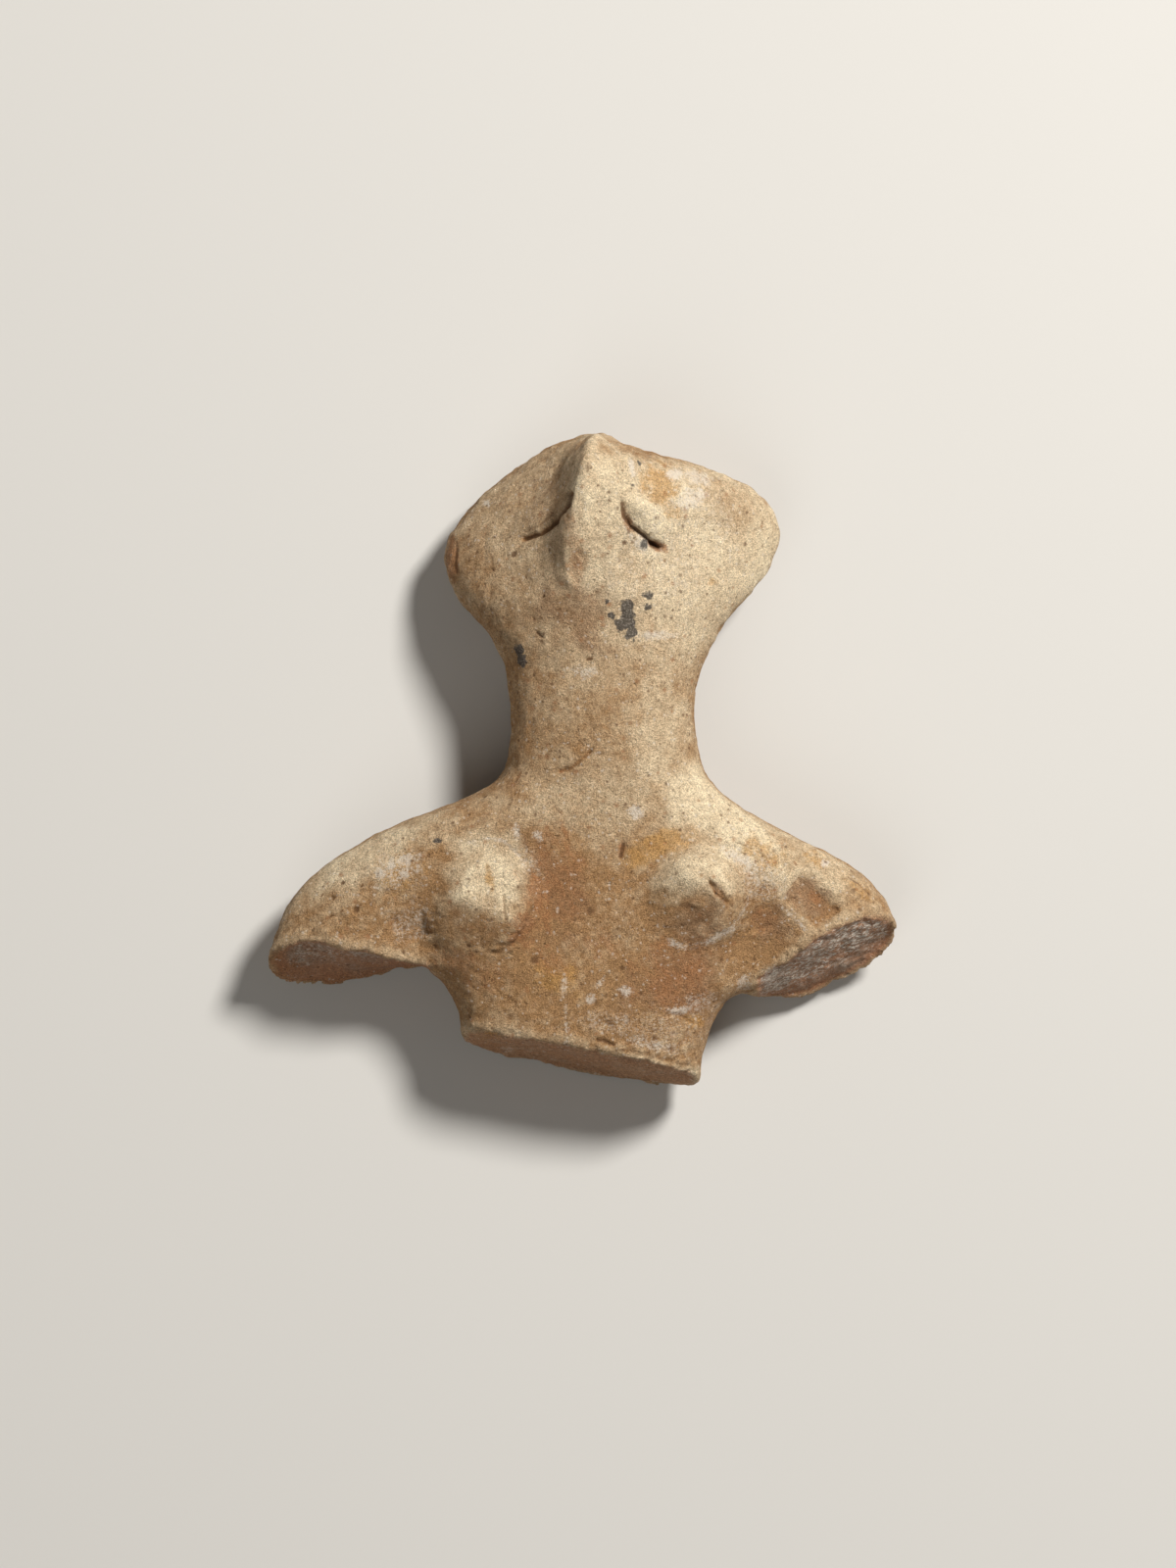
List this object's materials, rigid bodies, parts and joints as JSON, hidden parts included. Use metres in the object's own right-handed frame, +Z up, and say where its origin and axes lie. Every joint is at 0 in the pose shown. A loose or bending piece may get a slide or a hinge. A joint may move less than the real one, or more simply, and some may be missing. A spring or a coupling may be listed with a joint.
{
  "type": "terracotta figurine fragment",
  "caption": "Upper half of a small hand-modelled fired-clay figurine: fan-shaped head with a pinched nose, thick neck, broken arms and waist. It lies on its back.",
  "frame": {"origin": "centre of the bounding box on the surface that the figurine lies on", "axes": "+X to the viewer's right across the shoulders, +Y up the body to the crown, +Z up, the way the figure faces"},
  "size_m": [0.0704, 0.0732, 0.0211],
  "materials": {
    "fired_clay": "matte unglazed buff clay, granular and worn"
  },
  "bodies": {
    "root": {"figurine_bust": "fired_clay"}
  },
  "joints": []
}
